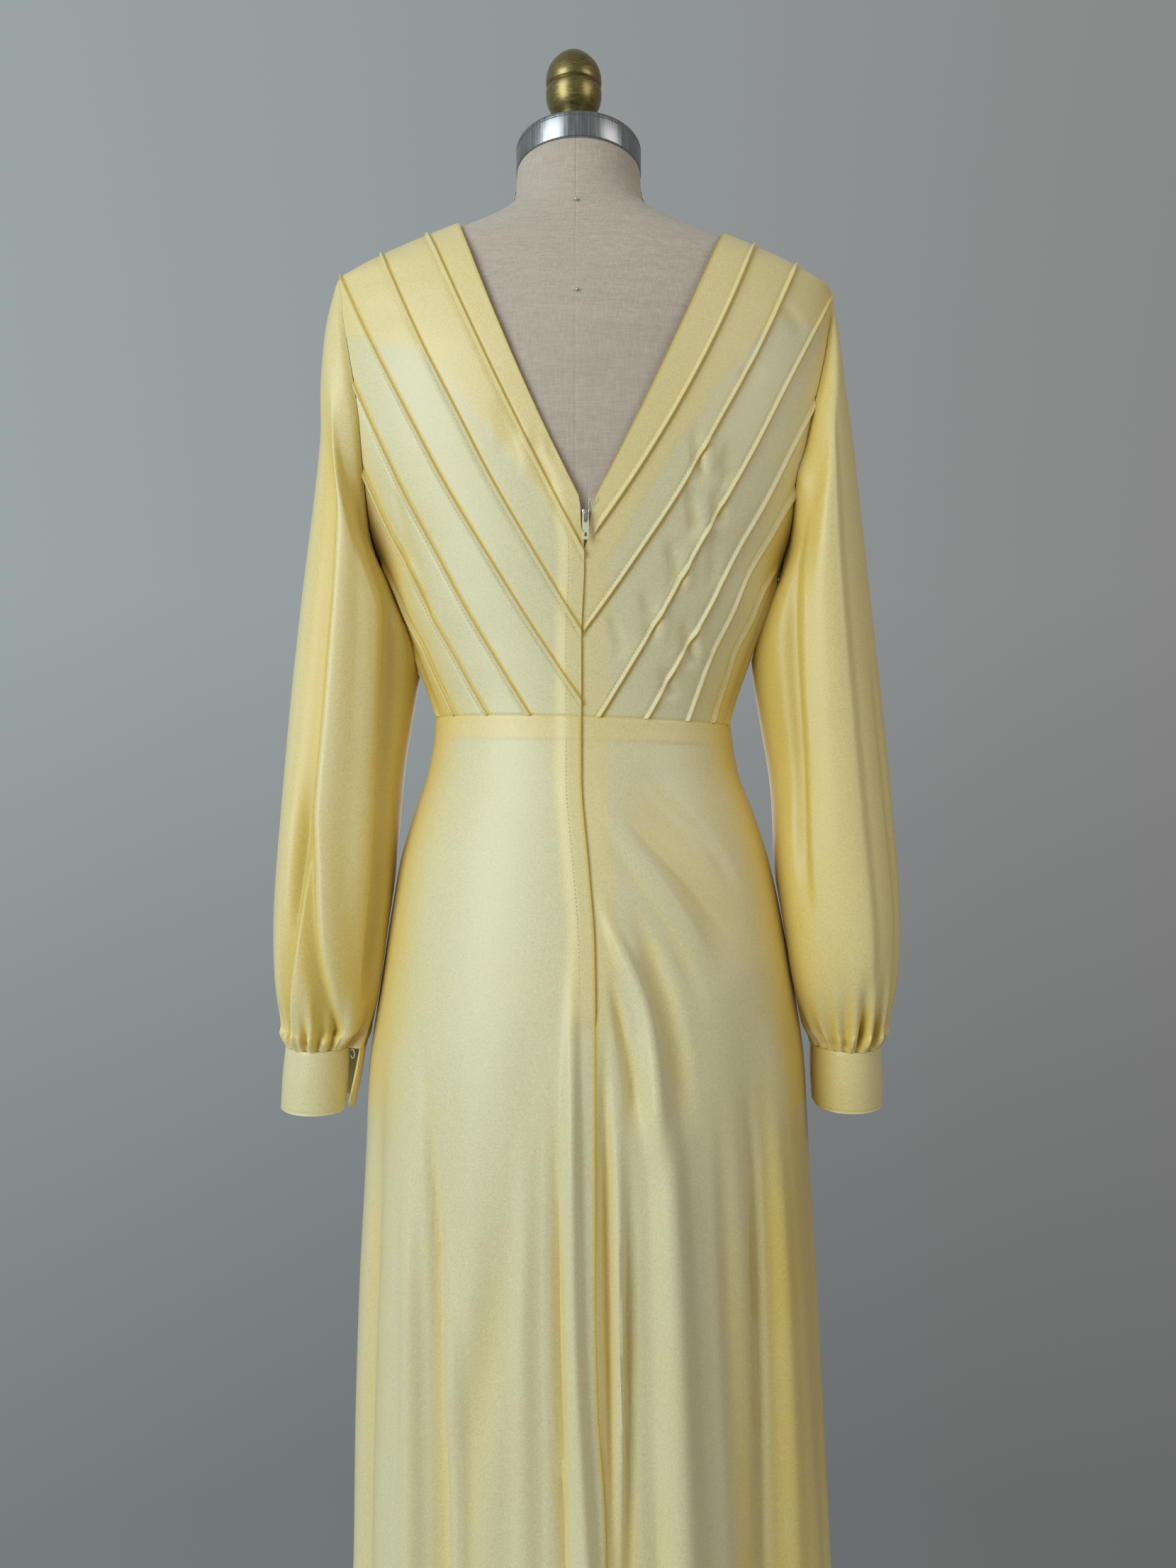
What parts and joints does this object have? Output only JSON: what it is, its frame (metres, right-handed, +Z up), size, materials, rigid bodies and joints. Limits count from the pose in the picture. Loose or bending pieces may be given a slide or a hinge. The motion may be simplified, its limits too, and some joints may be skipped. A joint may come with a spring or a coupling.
{
  "type": "long sleeve maxi dress on limbless dress form",
  "caption": "Full-length dress with a deep back neckline, pintucked back bodice, gathered sleeves and cuffs, worn by a limbless form on a pole with a round base.",
  "frame": {"origin": "centre of the flat underside of the form's base, on the floor", "axes": "+Z up along the pole, +Y towards the back of the dress with its zip, +X towards the left side as seen from behind"},
  "size_m": [0.5043, 0.3559, 1.6021],
  "materials": {
    "bodice_back_left": "satin",
    "bodice_back_right": "satin",
    "bodice_front": "satin",
    "skirt_back_left": "satin",
    "skirt_back_right": "satin",
    "skirt_front": "satin",
    "sleeve_left": "satin",
    "sleeve_right": "satin",
    "cuff_left": "satin",
    "cuff_right": "satin",
    "zip_chain": "woven tape with moulded teeth",
    "zip_slider": "worn, silvery",
    "zip_pull": "gloss enamel",
    "form_torso": "matt linen cover",
    "neck_band": "brushed",
    "finial": "aged, smooth",
    "pole": "satin black",
    "base": "satin black paint"
  },
  "bodies": {
    "dress_on_form": {"bodice_back_left": "bodice_back_left", "bodice_back_right": "bodice_back_right", "bodice_front": "bodice_front", "skirt_back_left": "skirt_back_left", "skirt_back_right": "skirt_back_right", "skirt_front": "skirt_front", "sleeve_left": "sleeve_left", "sleeve_right": "sleeve_right", "cuff_left": "cuff_left", "cuff_right": "cuff_right", "zip_chain": "zip_chain", "zip_slider": "zip_slider", "form_torso": "form_torso", "neck_band": "neck_band", "finial": "finial", "pole": "pole", "base": "base"},
    "zip_pull": {"zip_pull": "zip_pull"}
  },
  "joints": [
    {"name": "pull_hinge", "type": "hinge", "parent": "dress_on_form", "child": "zip_pull", "pos_m": [-0.006, 0.10076, 1.2], "axis": [1, 0, 0], "range_deg": [0, 150]}
  ]
}
